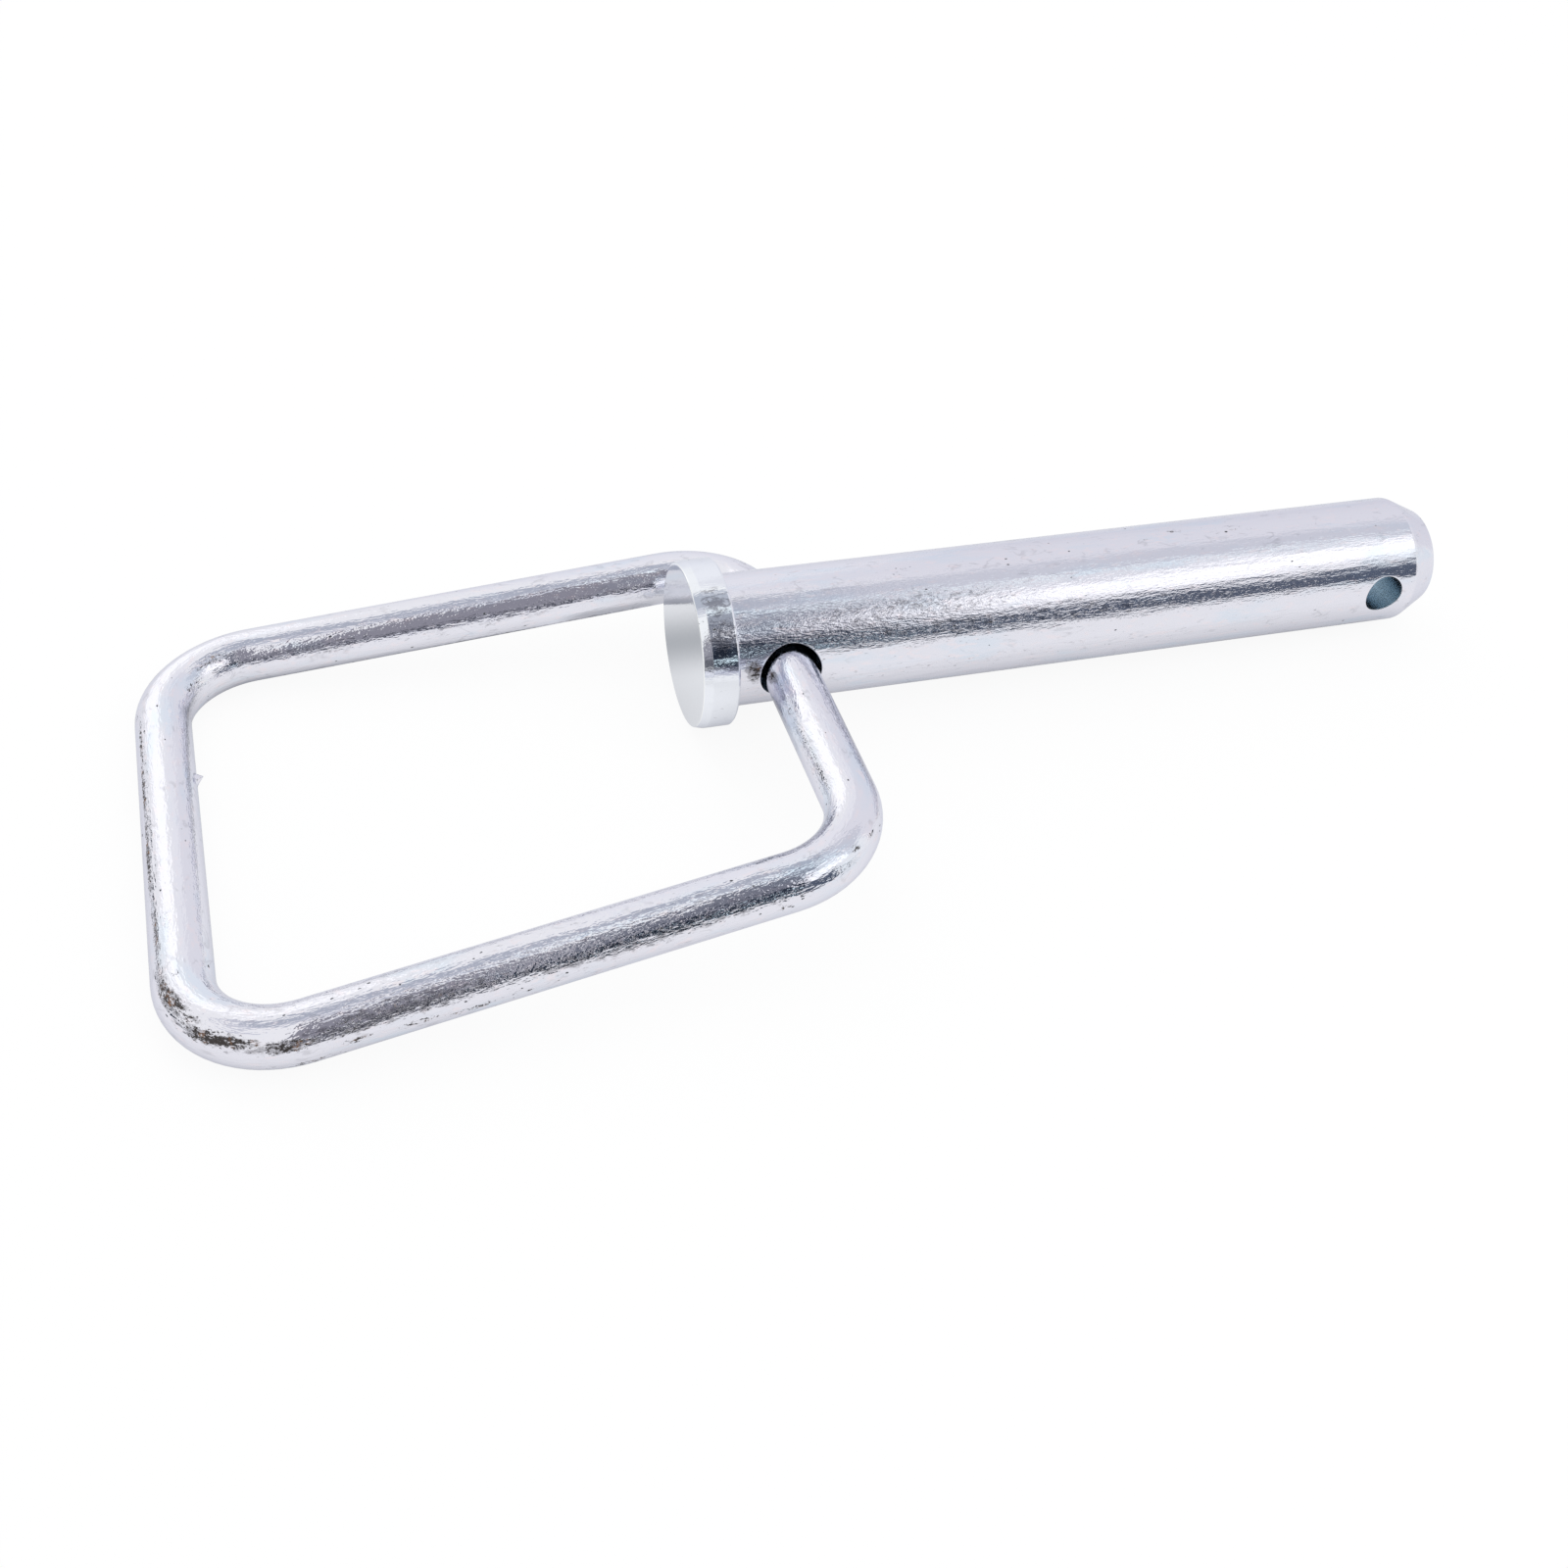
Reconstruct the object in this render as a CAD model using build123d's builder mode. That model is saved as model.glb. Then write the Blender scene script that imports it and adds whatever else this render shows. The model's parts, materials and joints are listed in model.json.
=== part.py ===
from build123d import *
import os
from math import asin, atan, cos, degrees, radians, sin, sqrt, tan

# Drawbar pin: a headed pin whose loop handle is threaded through a cross hole under the head.
# Millimetres, +Z up. The pin lies on a level surface as it comes to rest, on its head, its tip and
# the handle's grip. The origin is the centre of the head's underside, on the pin's axis, and +X runs
# towards the tip.

# Shank and head
shank_diameter = 30.0
length_under_head = 177.5
head_diameter = 38.0
head_thickness = 8.2
head_top_chamfer_depth = 2.0  # along the axis
head_top_chamfer_width = 0.5  # across the axis
head_underside_chamfer = 0.5
under_head_radius = 0.8

# Tip
tip_taper_length = 7.1
tip_taper_width = 3.6

# Cross holes
handle_hole_diameter = 14.0
handle_hole_from_head = 12.7
handle_hole_roll = 1.5  # degrees that its near opening is drilled below the clip hole's
clip_hole_diameter = 9.4
clip_hole_from_tip = 15.2
hole_edge_chamfer = 0.3

# Handle
rod_diameter = 12.0
bend_radius = 20.0  # to the rod's centre line
grip_reach = 135.4  # hinge line to the grip's centre line
near_reach = 76.7  # pin axis to the near side bar, along the hinge line
near_lean = 4.4  # degrees that the near side bar opens towards the grip
far_lean = 2.5  # degrees that the far side bar opens towards the grip
hinge_skew = 0.8  # degrees that the rod lies askew in its hole

# Clearances
rod_seat_gap = 0.25  # rod to the bottom of its hole's far lip
bend_lip_gap = 0.05  # inside of the far bend to the hole's lip, with the handle hanging

shank_radius = shank_diameter / 2
head_radius = head_diameter / 2
rod_radius = rod_diameter / 2
handle_hole_radius = handle_hole_diameter / 2

# The pin rests on the edge of the head's underside and on the edge where the tip's taper starts,
# which is thinner than the head, so its axis dips towards the tip.
head_contact = -head_underside_chamfer
tip_contact = length_under_head - tip_taper_length
dip = atan((head_radius - shank_radius) / (tip_contact - head_contact))
pin_axis = Vector(cos(dip), 0, -sin(dip))
pin_up = Vector(sin(dip), 0, cos(dip))
floor_height = (pin_axis * head_contact - pin_up * head_radius).Z

# The hole's far opening is the higher one, so the rod rests at the bottom of its far lip, and the
# handle droops until its grip meets the surface.
lip_offset = sqrt(shank_radius**2 - handle_hole_radius**2)
far_lip_rise = lip_offset * tan(radians(handle_hole_roll))
rod_drop = handle_hole_radius - rod_radius - rod_seat_gap - far_lip_rise
hinge_point = pin_axis * handle_hole_from_head - pin_up * rod_drop
droop = asin((hinge_point.Z - floor_height - rod_radius) / grip_reach)
towards_grip = Vector(-cos(droop), 0, -sin(droop))
loop_plane = Plane(origin=hinge_point, x_dir=towards_grip, z_dir=towards_grip.cross(Vector(0, 1, 0)))

# The handle has slid along the hole until its far bend meets the lip, so the lip sets the far side bar.
inner_bend_radius = bend_radius - rod_radius
bend_entry_gap = rod_seat_gap - bend_lip_gap
bend_entry = sqrt(2 * inner_bend_radius * bend_entry_gap - bend_entry_gap**2)
far_turn = radians(90 - far_lean + hinge_skew)
far_reach = lip_offset - bend_entry + bend_radius * tan(far_turn / 2)

# The cross holes, each with the plane that its circle is drawn in
handle_hole_plane = Plane((handle_hole_from_head, 0, 0), x_dir=(1, 0, 0), z_dir=(0, -1, 0))
handle_hole_plane = handle_hole_plane.rotated((handle_hole_roll, 0, 0))
clip_hole_plane = Plane((length_under_head - clip_hole_from_tip, 0, 0), x_dir=(1, 0, 0), z_dir=(0, -1, 0))
cross_holes = [(handle_hole_plane, handle_hole_radius), (clip_hole_plane, clip_hole_diameter / 2)]

# The headed pin, level: one turned profile, then its cross holes
with BuildPart() as level_pin:
    with BuildSketch(Plane.XZ):
        with BuildLine():
            Polyline(
                (-head_thickness, 0),
                (-head_thickness, head_radius - head_top_chamfer_width),
                (head_top_chamfer_depth - head_thickness, head_radius),
                (-head_underside_chamfer, head_radius),
                (0, head_radius - head_underside_chamfer),
                (0, shank_radius + under_head_radius),
            )
            RadiusArc(
                (0, shank_radius + under_head_radius),
                (under_head_radius, shank_radius),
                under_head_radius,
            )
            Polyline(
                (under_head_radius, shank_radius),
                (tip_contact, shank_radius),
                (length_under_head, shank_radius - tip_taper_width),
                (length_under_head, 0),
                (-head_thickness, 0),
            )
        make_face()
    revolve(axis=Axis.X)

    for hole_plane, hole_radius in cross_holes:
        with BuildSketch(hole_plane):
            Circle(hole_radius)
        extrude(amount=shank_radius, both=True, mode=Mode.SUBTRACT)
        hole_lips = level_pin.edges(Select.LAST).filter_by(GeomType.LINE, reverse=True)
        chamfer(hole_lips, hole_edge_chamfer)

# Laid down on its head and tip
with BuildPart() as headed_pin:
    add(level_pin.part, rotation=(0, degrees(dip), 0))
headed_pin.part.label = "headed_pin"

# The loop handle: one rod along a closed path of four bars and four bends
hinge_line = Vector(-sin(radians(hinge_skew)), cos(radians(hinge_skew)))
near_corner = hinge_line * -near_reach
far_corner = hinge_line * far_reach
near_grip_corner = (grip_reach, near_corner.Y - (grip_reach - near_corner.X) * tan(radians(near_lean)))
far_grip_corner = (grip_reach, far_corner.Y + (grip_reach - far_corner.X) * tan(radians(far_lean)))

with BuildPart() as loop_handle:
    with BuildLine(loop_plane) as loop_path:
        FilletPolyline(
            (near_corner.X, near_corner.Y),
            (far_corner.X, far_corner.Y),
            far_grip_corner,
            near_grip_corner,
            radius=bend_radius,
            close=True,
        )
    loop_wire = loop_path.wire()
    with BuildSketch(Plane(origin=loop_wire @ 0, z_dir=loop_wire % 0)):
        Circle(rod_radius)
    sweep(path=loop_wire)
loop_handle.part.label = "loop_handle"

os.makedirs("parts", exist_ok=True)
export_step(headed_pin.part, "parts/headed_pin.step")
export_step(loop_handle.part, "parts/loop_handle.step")

print(f"pin axis dips {degrees(dip):.3f} degrees, surface at z {floor_height:.3f}")
print(f"hinge point {hinge_point.X:.3f}, {hinge_point.Y:.3f}, {hinge_point.Z:.3f}")
print(f"handle droops {degrees(droop):.3f} degrees, far side bar at {far_reach:.3f}")
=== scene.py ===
# %% [markdown]
# # Drawbar pin
# A drawbar pin couples an implement to a tractor. This one is a turned steel pin with a head and
# two cross holes, and a loop handle bent from one rod, which swings in the hole under the head.
# Both pieces are bright zinc plated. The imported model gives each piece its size, its place and the
# body it moves with, so it is loaded first, and all that follows is fitted to it.

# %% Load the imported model
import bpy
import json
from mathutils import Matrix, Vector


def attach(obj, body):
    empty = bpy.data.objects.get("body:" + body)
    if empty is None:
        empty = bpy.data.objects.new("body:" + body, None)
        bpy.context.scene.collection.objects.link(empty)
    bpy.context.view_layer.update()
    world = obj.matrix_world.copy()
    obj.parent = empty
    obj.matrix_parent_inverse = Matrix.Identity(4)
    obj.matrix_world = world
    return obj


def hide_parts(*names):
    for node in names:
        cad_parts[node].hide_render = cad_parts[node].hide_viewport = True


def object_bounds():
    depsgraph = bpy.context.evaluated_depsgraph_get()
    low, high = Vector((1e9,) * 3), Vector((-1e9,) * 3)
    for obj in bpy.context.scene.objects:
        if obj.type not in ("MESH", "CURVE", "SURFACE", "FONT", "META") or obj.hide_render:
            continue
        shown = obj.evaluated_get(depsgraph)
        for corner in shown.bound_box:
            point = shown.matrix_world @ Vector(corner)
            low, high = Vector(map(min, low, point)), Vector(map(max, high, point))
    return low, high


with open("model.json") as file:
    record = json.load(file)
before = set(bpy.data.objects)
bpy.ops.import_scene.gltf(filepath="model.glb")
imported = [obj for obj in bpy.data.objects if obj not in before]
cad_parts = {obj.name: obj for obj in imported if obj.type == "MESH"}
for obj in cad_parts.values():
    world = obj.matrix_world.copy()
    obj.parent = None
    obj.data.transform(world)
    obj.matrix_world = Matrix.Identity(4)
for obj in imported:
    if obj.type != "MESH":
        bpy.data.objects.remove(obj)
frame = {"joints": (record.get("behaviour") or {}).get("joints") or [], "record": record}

cad_low, cad_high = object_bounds()
print("box", [round(v, 4) for v in cad_low], [round(v, 4) for v in cad_high])

# %% [markdown]
# ## Sizes
# Blender works in metres here, and the pin was measured in millimetres, so every size is written
# in millimetres times MM. The pin's axis and the handle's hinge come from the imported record, which
# keeps both scripts from drifting apart. The pin lies on its head and its tip, so its axis dips a
# little towards the tip, and the handle droops until its grip meets the floor.

# %% Sizes and directions
import json
from math import asin, atan2, cos, degrees, pi, radians, sin, sqrt, tan

import bpy
import bmesh
import numpy as np
from mathutils import Matrix, Vector

MM = 0.001

shank_radius = 15.0 * MM
length_under_head = 177.5 * MM
head_radius = 19.0 * MM
head_thickness = 8.2 * MM
head_chamfer_depth = 2.0 * MM
head_chamfer_width = 0.5 * MM
underside_chamfer = 0.5 * MM
under_head_radius = 0.8 * MM
taper_length = 7.1 * MM
taper_width = 3.6 * MM
handle_hole_radius = 7.0 * MM
handle_hole_place = 12.7 * MM
clip_hole_radius = 4.7 * MM
handle_hole_roll = radians(1.5)
clip_hole_place = length_under_head - 15.2 * MM
rod_radius = 6.0 * MM
bend_radius = 20.0 * MM

mounts = {m["name"]: m for m in frame["record"]["mounts"]}
hinge = frame["joints"][0]
pin_axis = Vector(mounts["shank"]["axis"])
hinge_point = Vector(hinge["pos_m"])
hinge_line = Vector(hinge["axis"])
dip = atan2(-pin_axis.z, pin_axis.x)
floor_height = cad_low.z

grip_reach = 135.4 * MM
droop = asin((hinge_point.z - floor_height - rod_radius) / grip_reach)
towards_grip = Vector((-cos(droop), 0, -sin(droop)))
print("dip", round(degrees(dip), 3), "droop", round(degrees(droop), 3), "floor", round(floor_height, 5))

# %% [markdown]
# ## Camera
# The picture was taken from close by, above the near side bar and a little towards the grip, with a
# normal lens. The camera's place was solved from the outlines of the bars, and it is written as a
# direction, a roll and a distance from the point that the lens aims at. A camera looks along its
# own -Z, so the three columns of its matrix are its right, its up and its back.

# %% Camera at the photograph's viewing angle
camera_azimuth = radians(-18.189)
camera_elevation = radians(39.755)
camera_roll = radians(2.523)
camera_distance = 414.66 * MM
camera_aim = Vector((6.09, -33.15, -16.41)) * MM
sensor_width = 36.0
focal_length = 43.518

back = Vector((sin(camera_azimuth) * cos(camera_elevation),
               -cos(camera_azimuth) * cos(camera_elevation),
               sin(camera_elevation)))
level_right = Vector((cos(camera_azimuth), sin(camera_azimuth), 0))
level_up = back.cross(level_right)
right = level_right * cos(camera_roll) + level_up * sin(camera_roll)
up = back.cross(right)

lens = bpy.data.cameras.new("camera")
lens.sensor_width = sensor_width
lens.lens = focal_length
lens.clip_start = 0.01
camera = bpy.data.objects.new("camera", lens)
bpy.context.scene.collection.objects.link(camera)
turn = Matrix((right, up, back)).transposed().to_4x4()
camera.matrix_world = Matrix.Translation(camera_aim + back * camera_distance) @ turn
bpy.context.scene.camera = camera
bpy.context.scene.view_settings.view_transform = "Standard"
print("camera at", [round(v, 4) for v in camera.matrix_world.translation])

# %% [markdown]
# ## Helpers for nodes
# A material is a small network. Building it by hand in code is long, so one helper feeds a socket
# and one adds a node with its inputs fed, and the helpers for maths and mixing are built on them.

# %% Helpers for shader nodes
def feed(tree, socket, value):
    """Links another node's output to a socket, or sets the socket to a number or a colour."""
    if isinstance(value, bpy.types.NodeSocket):
        tree.links.new(value, socket)
    else:
        socket.default_value = value


def add_node(tree, kind, inputs=None, **settings):
    """A node of this kind. Inputs are given by name or by number."""
    node = tree.nodes.new(kind)
    for name, value in settings.items():
        setattr(node, name, value)
    for name, value in (inputs or {}).items():
        feed(tree, node.inputs[name], value)
    return node


def maths(tree, operation, *values, clamp=False):
    """The result of a maths node on these numbers or outputs."""
    node = add_node(tree, "ShaderNodeMath", operation=operation, use_clamp=clamp)
    for socket, value in zip(node.inputs, values):
        feed(tree, socket, value)
    return node.outputs[0]


def ramp(tree, value, low, high, to_low=0.0, to_high=1.0):
    """A smooth step of a value, from to_low at low to to_high at high."""
    node = add_node(tree, "ShaderNodeMapRange", interpolation_type="SMOOTHSTEP", clamp=True, inputs={
        "Value": value, "From Min": low, "From Max": high, "To Min": to_low, "To Max": to_high})
    return node.outputs["Result"]


def mix_colour(tree, factor, first, second):
    """A colour that goes from first to second as the factor goes from 0 to 1."""
    return add_node(tree, "ShaderNodeMix", data_type="RGBA",
                    inputs={0: factor, 6: first, 7: second}).outputs[2]


def noise(tree, place, scale, detail=2.0, roughness=0.5, distortion=0.0):
    """Noise between 0 and 1 at a place."""
    node = add_node(tree, "ShaderNodeTexNoise", inputs={
        "Vector": place, "Scale": scale, "Detail": detail, "Roughness": roughness,
        "Distortion": distortion})
    return node.outputs["Fac"]


def stretch(tree, place, factors):
    """A place with each of its axes scaled, which stretches a pattern along an axis."""
    return add_node(tree, "ShaderNodeVectorMath", operation="MULTIPLY",
                    inputs={0: place, 1: factors}).outputs[0]


def new_material(name):
    """An empty material, its node tree and its output node."""
    material = bpy.data.materials.new(name)
    material.use_nodes = True
    material.node_tree.nodes.clear()
    return material, material.node_tree, material.node_tree.nodes.new("ShaderNodeOutputMaterial")


print("node helpers ready")

# %% [markdown]
# ## Floor and backdrop
# The object lies on a white sheet in front of a white backdrop. Light Path tells which kind of ray
# asks: the camera, a mirror and a pane of glass see the sheet as nearly white, and the light that
# falls on the object stays at a plain level. A share of the sheet's colour is still true shading,
# so it keeps the object's soft shadow. What a mirror sees also darkens close to the metal, where
# the real sheet lies in its shade.

# %% White sheet and surroundings
def kinds_of_ray(tree):
    """Two masks: 1 for rays from the camera, and 1 for rays from a mirror or a pane of glass."""
    path = add_node(tree, "ShaderNodeLightPath")
    from_mirror = maths(tree, "MAXIMUM", path.outputs["Is Glossy Ray"], path.outputs["Is Transmission Ray"])
    return path.outputs["Is Camera Ray"], from_mirror


sheet_size = 8.0
sheet_camera_share = 0.91
sheet_mirror_level = 0.97
sheet_colour = (0.92, 0.92, 0.93, 1)
mirrored_colour = (0.985, 0.985, 1, 1)
white = (1, 1, 1, 1)
contact_reach = 20 * MM
contact_softness = 0.26
surroundings_strength = 0.85

bpy.ops.object.select_all(action="DESELECT")
bpy.ops.mesh.primitive_plane_add(size=sheet_size, location=(0, 0, floor_height))
sheet = bpy.context.object
sheet.name = "white_sheet"
sheet_paint, tree, output = new_material("white sheet")
from_camera, from_mirror = kinds_of_ray(tree)
shading = add_node(tree, "ShaderNodeBsdfDiffuse", inputs={"Color": sheet_colour})
glow = add_node(tree, "ShaderNodeEmission", inputs={"Color": white, "Strength": 1.0})
lit = add_node(tree, "ShaderNodeMixShader", inputs={
    0: sheet_camera_share, 1: shading.outputs[0], 2: glow.outputs[0]})
openness = add_node(tree, "ShaderNodeAmbientOcclusion", samples=8, inputs={"Distance": contact_reach})
shade = maths(tree, "POWER", openness.outputs["AO"], contact_softness)
level = maths(tree, "MULTIPLY", shade, sheet_mirror_level)
mirrored = add_node(tree, "ShaderNodeEmission", inputs={"Color": mirrored_colour, "Strength": level})
unseen = add_node(tree, "ShaderNodeMixShader", inputs={
    0: from_mirror, 1: shading.outputs[0], 2: mirrored.outputs[0]})
blend = add_node(tree, "ShaderNodeMixShader", inputs={
    0: from_camera, 1: unseen.outputs[0], 2: lit.outputs[0]})
tree.links.new(blend.outputs[0], output.inputs["Surface"])
sheet.data.materials.append(sheet_paint)

world = bpy.data.worlds.new("white surroundings")
bpy.context.scene.world = world
world.use_nodes = True
tree = world.node_tree
tree.nodes.clear()
from_camera, from_mirror = kinds_of_ray(tree)
direct = maths(tree, "MAXIMUM", from_camera, from_mirror)
strength = ramp(tree, direct, 0.0, 1.0, surroundings_strength, 1.0)
surroundings = add_node(tree, "ShaderNodeBackground", inputs={"Color": white, "Strength": strength})
output = tree.nodes.new("ShaderNodeOutputWorld")
tree.links.new(surroundings.outputs[0], output.inputs["Surface"])
print("sheet at", round(floor_height, 4), "surroundings", surroundings_strength)

# %% [markdown]
# ## Lamps and cards
# Bright metal has hardly a colour of its own: it shows what stands round it. A photographer lights
# it with large soft lamps and puts dark cards where a dark line should run along the metal. The
# same is done here. Each lamp or card is placed by the compass direction and the height at which
# the metal sees it, azimuth 0 being +X and 90 being +Y. The cards are seen by mirrors alone, so
# they don't take light from the object or the floor. Two small grey ones lie on the floor, where
# the shade of the far side bar is mirrored in its own edge and in the head's face.

# %% Soft lamps and studio cards
def towards(azimuth, elevation):
    """The direction at an azimuth and an elevation in degrees."""
    a, e = radians(azimuth), radians(elevation)
    return Vector((cos(a) * cos(e), sin(a) * cos(e), sin(e)))


def soft_lamp(name, place, aim, width, height, level):
    """A soft rectangular lamp for the sheet. Its mirror image is left to a card."""
    light = bpy.data.lights.new(name, "AREA")
    light.shape = "RECTANGLE"
    light.size, light.size_y = width, height
    light.energy = level * width * height * pi
    lamp = bpy.data.objects.new(name, light)
    bpy.context.scene.collection.objects.link(lamp)
    lamp.location = place
    lamp.rotation_euler = (aim - place).to_track_quat("-Z", "Y").to_euler()
    lamp.visible_glossy = False


def card(name, place, aim, width, height, colour, feather=(0.0, 0.0)):
    """A card that only mirrors see. Feather is the share of its width and height that fades out."""
    bpy.ops.object.select_all(action="DESELECT")
    bpy.ops.mesh.primitive_plane_add(size=1)
    board = bpy.context.object
    board.name = name
    board.scale = (width, height, 1)
    board.location = place
    away = (place - aim).normalized()
    side = Vector((0, 0, 1)).cross(away)
    side = side.normalized() if side.length > 0.01 else Vector((1, 0, 0))
    board.rotation_euler = Matrix((side, away.cross(side), away)).transposed().to_euler()
    paint, tree, output = new_material(name)
    paint.cycles.emission_sampling = "NONE"
    face = add_node(tree, "ShaderNodeEmission", inputs={"Color": (*colour, 1), "Strength": 1.0})
    place_on = add_node(tree, "ShaderNodeSeparateXYZ", inputs={
        0: add_node(tree, "ShaderNodeTexCoord").outputs["Object"]})
    cover = None
    for axis, share in zip("XY", feather):
        if share:
            out = maths(tree, "ABSOLUTE", place_on.outputs[axis])
            fade = ramp(tree, out, 0.5 - share / 2, 0.5, 1.0, 0.0)
            cover = fade if cover is None else maths(tree, "MULTIPLY", cover, fade)
    if cover is None:
        tree.links.new(face.outputs[0], output.inputs["Surface"])
    else:
        clear = add_node(tree, "ShaderNodeBsdfTransparent")
        blend = add_node(tree, "ShaderNodeMixShader", inputs={
            0: cover, 1: clear.outputs[0], 2: face.outputs[0]})
        tree.links.new(blend.outputs[0], output.inputs["Surface"])
    board.data.materials.append(paint)
    for ray in ("camera", "diffuse", "transmission", "volume_scatter", "shadow"):
        setattr(board, "visible_" + ray, False)


def wall_card(name, left, right, low, high, distance, colour, feather=(0.0, 0.0)):
    """An upright card between two azimuths and two elevations."""
    foot, top = distance * tan(radians(low)), distance * tan(radians(high))
    place = towards((left + right) / 2, 0) * distance + Vector((0, 0, (foot + top) / 2))
    across = 2 * distance * tan(radians(abs(right - left) / 2))
    card(name, place, Vector((0, 0, place.z)), across, top - foot, colour, feather)


def level_card(name, x, y, height, width, depth, colour, feather):
    """A card that lies level at a height."""
    place = Vector((x, y, height))
    card(name, place, place - Vector((0, 0, 1)), width, depth, colour, feather)


flag_black = (0.030, 0.040, 0.062)
flag_dark = (0.11, 0.115, 0.14)
flag_grey = (0.20, 0.21, 0.255)
flag_pale = (0.30, 0.295, 0.34)
lift = 0.1 * MM  # cards on the floor lie a few of these above it, each at its own height
soft_lamp("key_lamp", towards(-40, 42) * 1.6, Vector((0.1, 0, 0)), 1.1, 0.75, 1.5)
soft_lamp("back_lamp", towards(108, 44) * 1.6, Vector((-0.05, 0, 0)), 0.9, 1.1, 1.0)
soft_lamp("top_lamp", Vector((0.2, 0.1, 1.5)), Vector((0, 0, 0)), 1.6, 1.0, 0.6)
wall_card("key_glow", -79, -4, 20, 62, 2.0, (0.84, 0.84, 0.88), (0.25, 0.3))
wall_card("key_card", -64, -19, 27, 50, 1.9, (1.32, 1.32, 1.32), (0.25, 0.3))
wall_card("upper_flag", -84.5, -69.5, 18, 62, 1.84, flag_grey, (0.08, 0.05))
wall_card("corner_flag", -84, -60, 47, 65, 1.83, flag_grey, (0.10, 0.12))
wall_card("upper_left_flag", -110, -85, 12, 72, 1.86, flag_pale, (0.15, 0.05))
wall_card("lower_left_flag", -108, -85, -0.4, 16, 1.82, flag_dark, (0.10, 0.3))
wall_card("lower_flag", -84.5, -68, -8, 29, 1.80, flag_black, (0.05, 0.16))
wall_card("low_flag", -70, -40, -9, 22, 1.75, (0.11, 0.13, 0.18), (0.0, 0.40))
wall_card("thin_strip", -78, -70.5, 5.2, 9.8, 1.7, (1.05, 1.26, 1.36), (0.1, 0.4))
wall_card("side_card", 0, 70, -0.4, 62, 2.1, (0.86, 0.855, 0.90))
wall_card("back_card", 66, 92, -0.4, 60, 2.0, (0.95, 0.95, 0.98), (0.3, 0.0))
wall_card("left_card", 98, 131, 9, 50, 1.9, (1.25, 1.25, 1.25), (0.35, 0.3))
wall_card("left_flag", 131, 190, -0.4, 9, 1.9, flag_black, (0.1, 0.3))
level_card("front_edge", 0.35, -1.02, floor_height + 5 * lift, 2.2, 1.7, flag_black, (0.1, 0.22))
level_card("ceiling_card", 0.2, 0.005, 0.95, 2.2, 0.61, (0.70, 0.71, 0.77), (0.1, 0.15))
level_card("zenith_card", -0.12, 0.06, 0.90, 1.0, 0.44, (0.50, 0.53, 0.60), (0.3, 0.4))
level_card("front_ceiling", 0.28, -0.36, 0.93, 0.30, 0.36, (0.36, 0.38, 0.44), (0.2, 0.3))
level_card("bar_shadow", -0.080, 0.040, floor_height + 4 * lift, 0.10, 0.030,
           (0.36, 0.37, 0.39), (0.15, 0.8))
level_card("head_shadow", -0.016, 0.0275, floor_height + 3 * lift, 0.032, 0.030,
           (0.52, 0.53, 0.55), (0.6, 1.0))
level_card("cyan_strip", 0.36, -0.215, 0.86, 0.95, 0.10, (1.06, 1.16, 1.18), (0.2, 0.5))

# %% [markdown]
# ## The headed pin
# The real pin is turned on a lathe from round bar, and its two holes are drilled across it. A lathe
# profile could be spun, but here a disc is extruded and resized from station to station, which
# gives the same rings and leaves them where the holes need them. The rings stand close together
# round each hole, so that the hole can be let into the wall with even quads: the small faces keep
# the mirror image of the wall smooth.

# %% Helpers for modelling
def start(name):
    """Deselects all, ready for a new primitive."""
    if bpy.context.object and bpy.context.object.mode != "OBJECT":
        bpy.ops.object.mode_set(mode="OBJECT")
    bpy.ops.object.select_all(action="DESELECT")
    print("modelling", name)


def select_where(kind, test):
    """Selects the faces, edges or verts of the open mesh that pass a test, and only those."""
    mesh = bpy.context.object.data
    shape = bmesh.from_edit_mesh(mesh)
    for group in (shape.verts, shape.edges, shape.faces):
        for element in group:
            element.select = False
    chosen = [element for element in getattr(shape, kind) if test(element)]
    for element in chosen:
        element.select_set(True)
    bmesh.update_edit_mesh(mesh)
    return len(chosen)


def near(value, target, slack=0.02 * MM):
    """True if a length is within a hair of its target."""
    return abs(value - target) < slack


def across_axis(point):
    """How far a point is from the X axis, along which the pin is modelled."""
    return sqrt(point.y ** 2 + point.z ** 2)


print("modelling helpers ready")

# %% Turned shape
pin_sides = 128
handle_patch_half = 8.6 * MM
handle_patch_steps = 24
clip_patch_half = 5.9 * MM
clip_patch_steps = 16
taper_start = length_under_head - taper_length
rim_middle = -4.0 * MM
underside_ring = shank_radius + 2.0 * MM
tip_ring = shank_radius - taper_width - 1.0 * MM
rings_by_head = [1.6 * MM, 2.8 * MM]
ring_by_taper = 169.4 * MM
ring_spacing = 2.5 * MM


def evenly(centre, half, steps):
    """Places along the axis, evenly spaced, from one edge of a hole's patch to the other."""
    return [centre - half + 2 * half * i / steps for i in range(steps + 1)]


shank_rings = rings_by_head + evenly(handle_hole_place, handle_patch_half, handle_patch_steps)
shank_rings += [number * ring_spacing for number in range(10, 62)]
shank_rings += evenly(clip_hole_place, clip_patch_half, clip_patch_steps) + [ring_by_taper]
profile = [(-head_thickness, head_radius - head_chamfer_width),
           (head_chamfer_depth - head_thickness, head_radius),
           (rim_middle, head_radius),
           (-underside_chamfer, head_radius),
           (0.0, head_radius - underside_chamfer),
           (0.0, underside_ring),
           (0.0, shank_radius)]
profile += [(place, shank_radius) for place in shank_rings]
profile += [(taper_start, shank_radius),
            (length_under_head, shank_radius - taper_width),
            (length_under_head, tip_ring)]

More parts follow.
